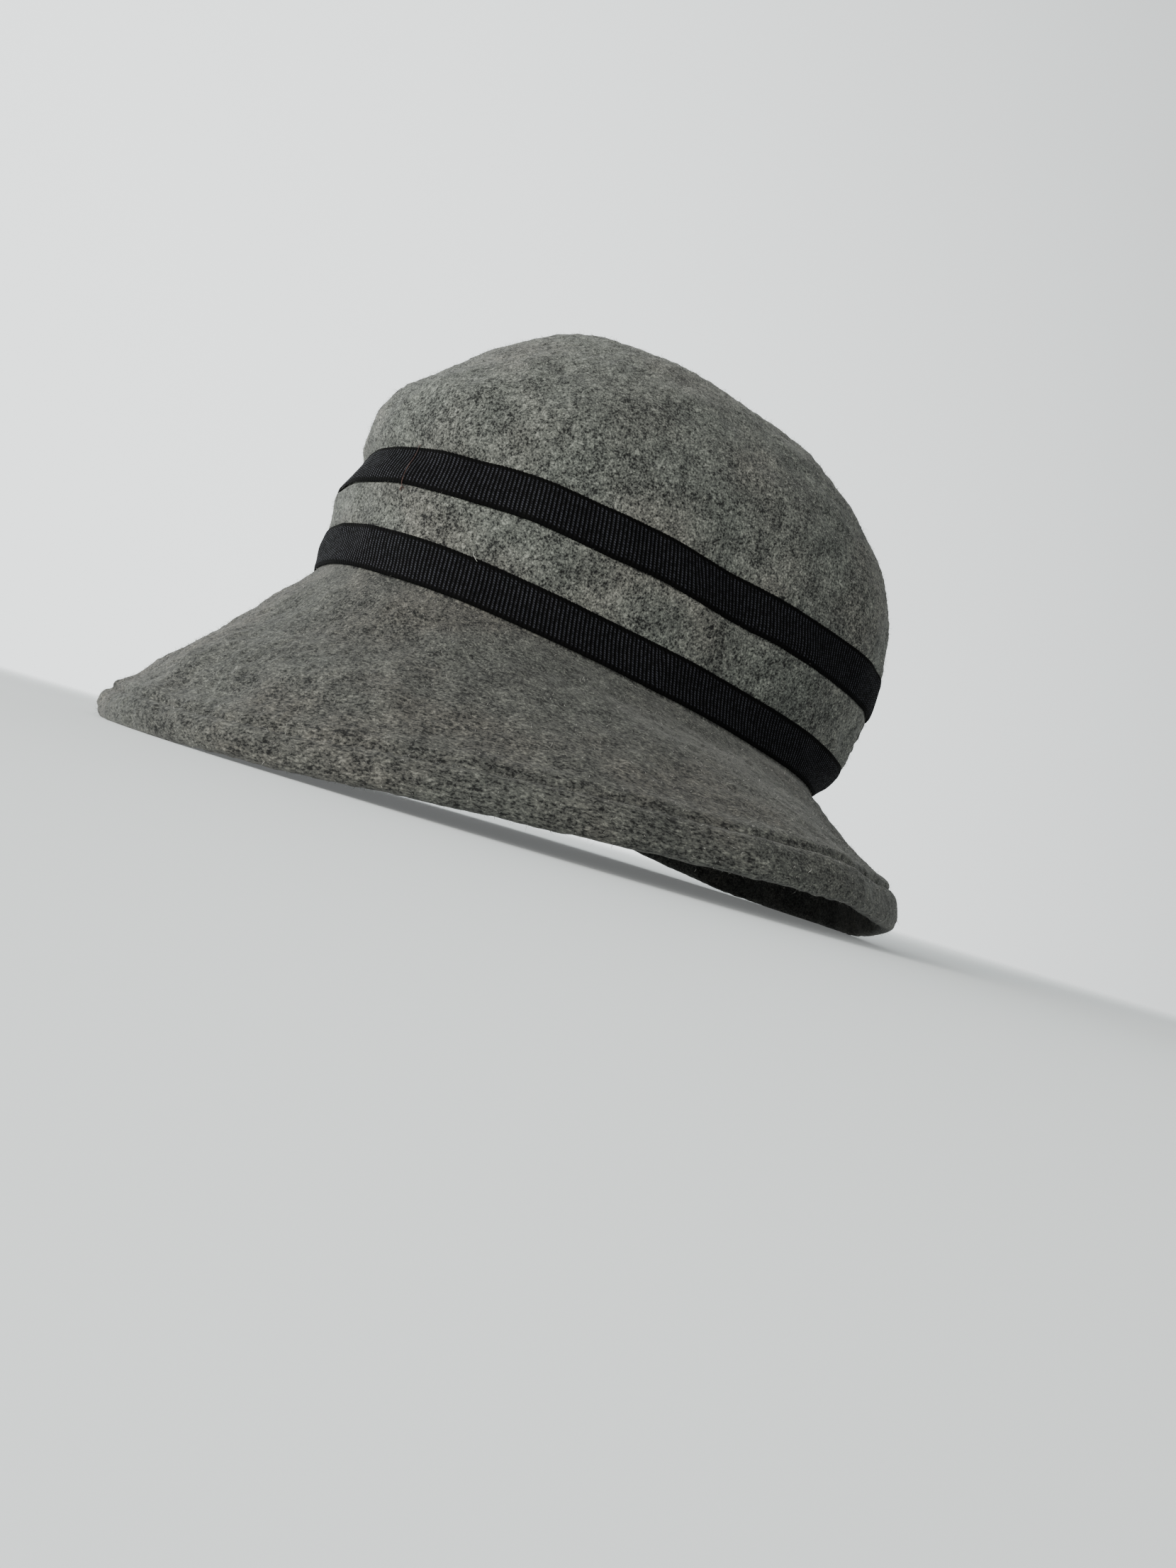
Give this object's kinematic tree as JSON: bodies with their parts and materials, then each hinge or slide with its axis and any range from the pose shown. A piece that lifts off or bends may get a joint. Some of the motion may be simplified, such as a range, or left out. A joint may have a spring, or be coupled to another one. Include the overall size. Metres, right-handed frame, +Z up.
{
  "type": "cloche hat",
  "caption": "Felt cloche hat with a rounded crown, a drooping brim with a turned-under stitched hem, and black grosgrain ribbons round the crown.",
  "frame": {"origin": "middle of the footprint, on the surface that the brim rests on", "axes": "+Z up, -Y towards the front of the hat, +X towards the wearer's left"},
  "size_m": [0.2926, 0.279, 0.182],
  "materials": {
    "felt": "marled grey wool felt, softly brushed",
    "grosgrain": "black ribbed ribbon with a dull sheen"
  },
  "bodies": {
    "root": {"crown": "felt", "brim": "felt", "lower_ribbon": "grosgrain", "upper_ribbon": "grosgrain"}
  },
  "joints": []
}
